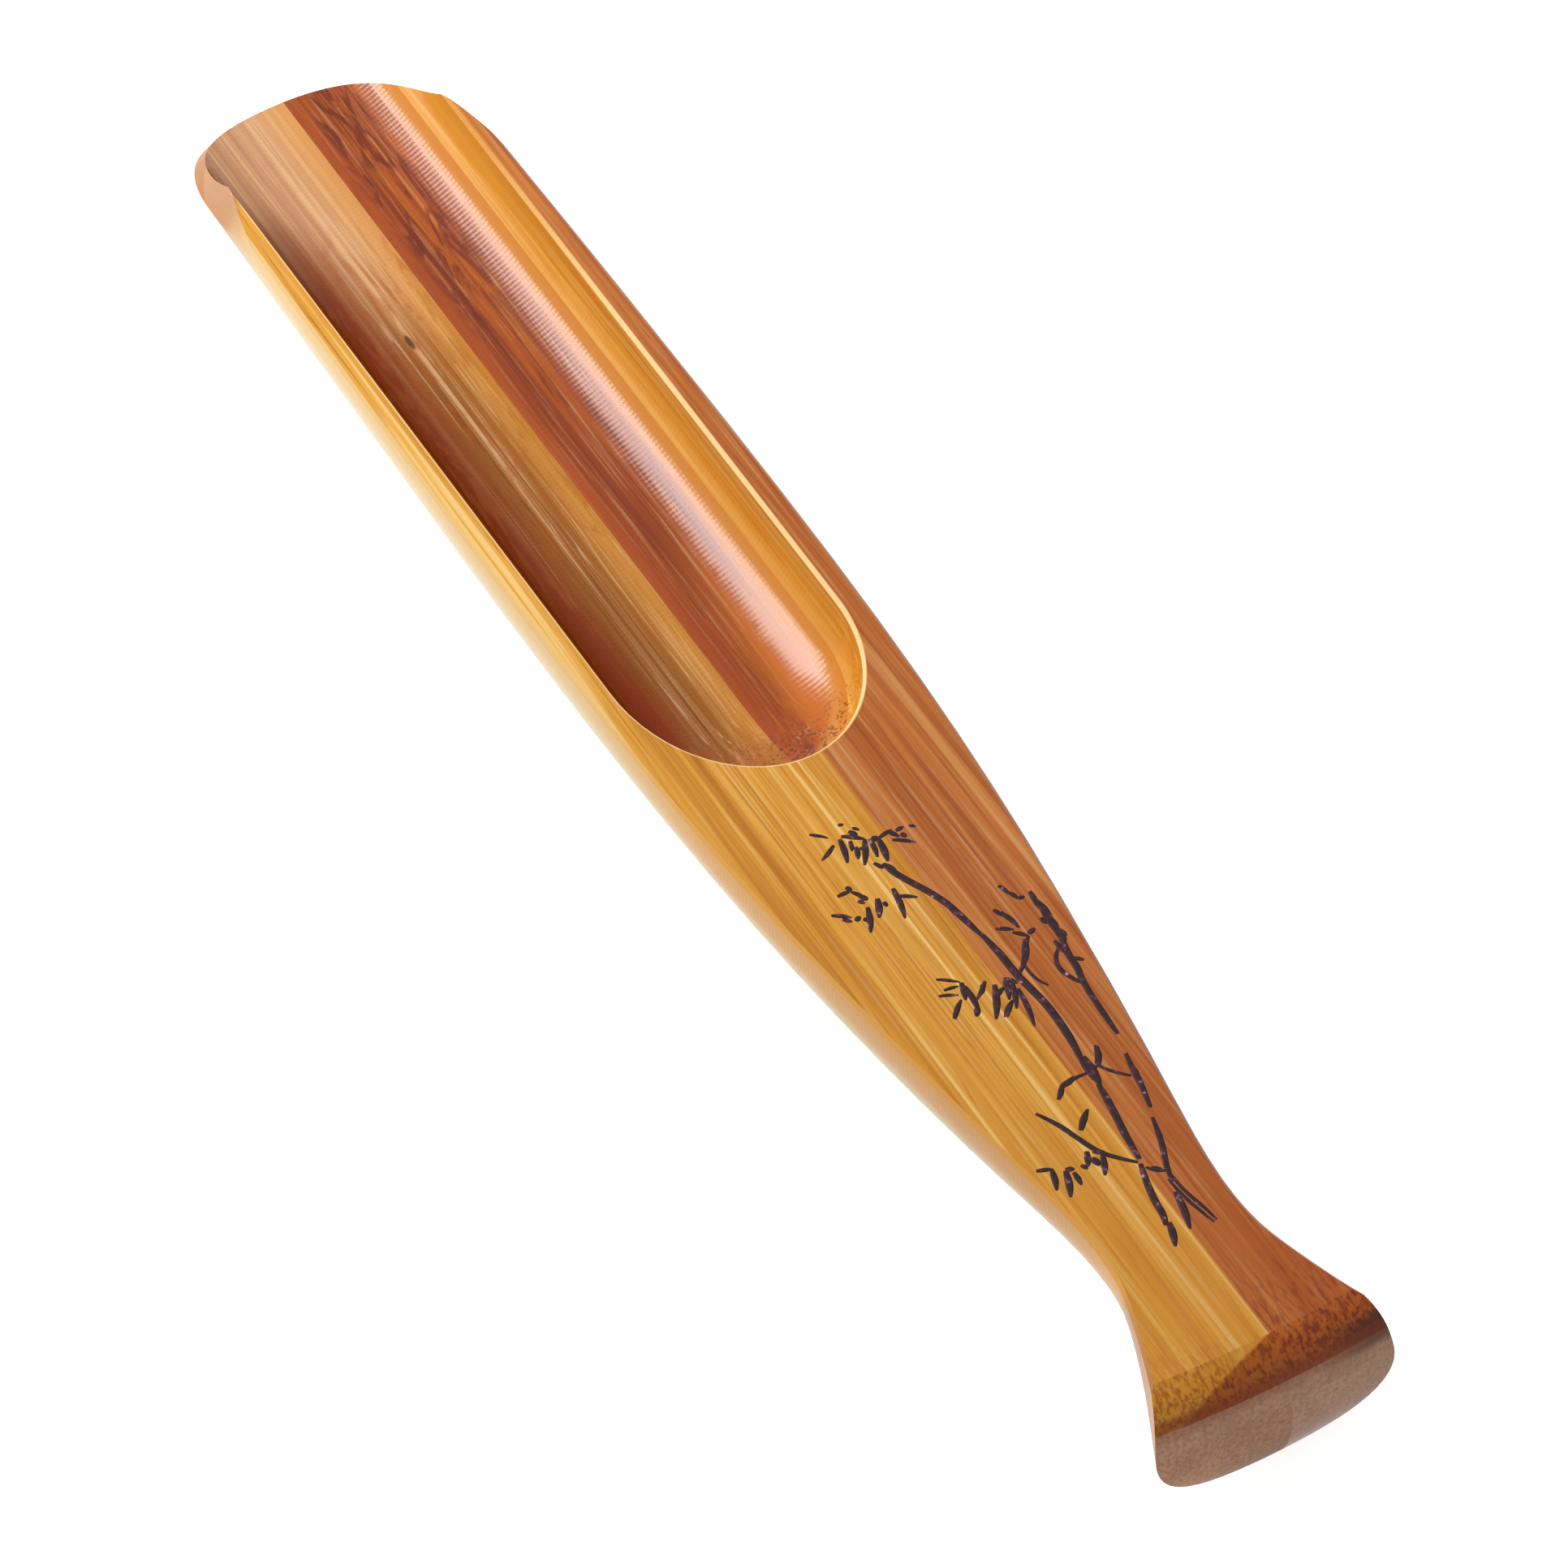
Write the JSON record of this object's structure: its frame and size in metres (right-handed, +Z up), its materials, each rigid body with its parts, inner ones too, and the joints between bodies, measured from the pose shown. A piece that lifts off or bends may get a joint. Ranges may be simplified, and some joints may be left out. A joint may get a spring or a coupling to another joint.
{
  "type": "bamboo tea scoop",
  "caption": "Boat-shaped laminated bamboo tea scoop with an open-ended trough, a narrow neck and a flared, domed butt, for lifting dry tea out of a caddy.",
  "frame": {"origin": "on the sole's plane, below the middle of the length and on the middle of the width", "axes": "+X from the nose towards the butt along the scoop, +Y towards its right edge as seen with the trough up and the butt towards the viewer, +Z up out of the trough"},
  "size_m": [0.176, 0.027, 0.0124],
  "materials": {
    "golden_bamboo": "clear gloss lacquer",
    "orange_bamboo": "clear gloss lacquer",
    "tan_bamboo": "clear gloss lacquer",
    "dark_bamboo": "clear gloss lacquer"
  },
  "bodies": {
    "root": {"upper_left_stave": "golden_bamboo", "upper_right_stave": "orange_bamboo", "lower_left_stave": "tan_bamboo", "lower_right_stave": "dark_bamboo"}
  },
  "joints": []
}
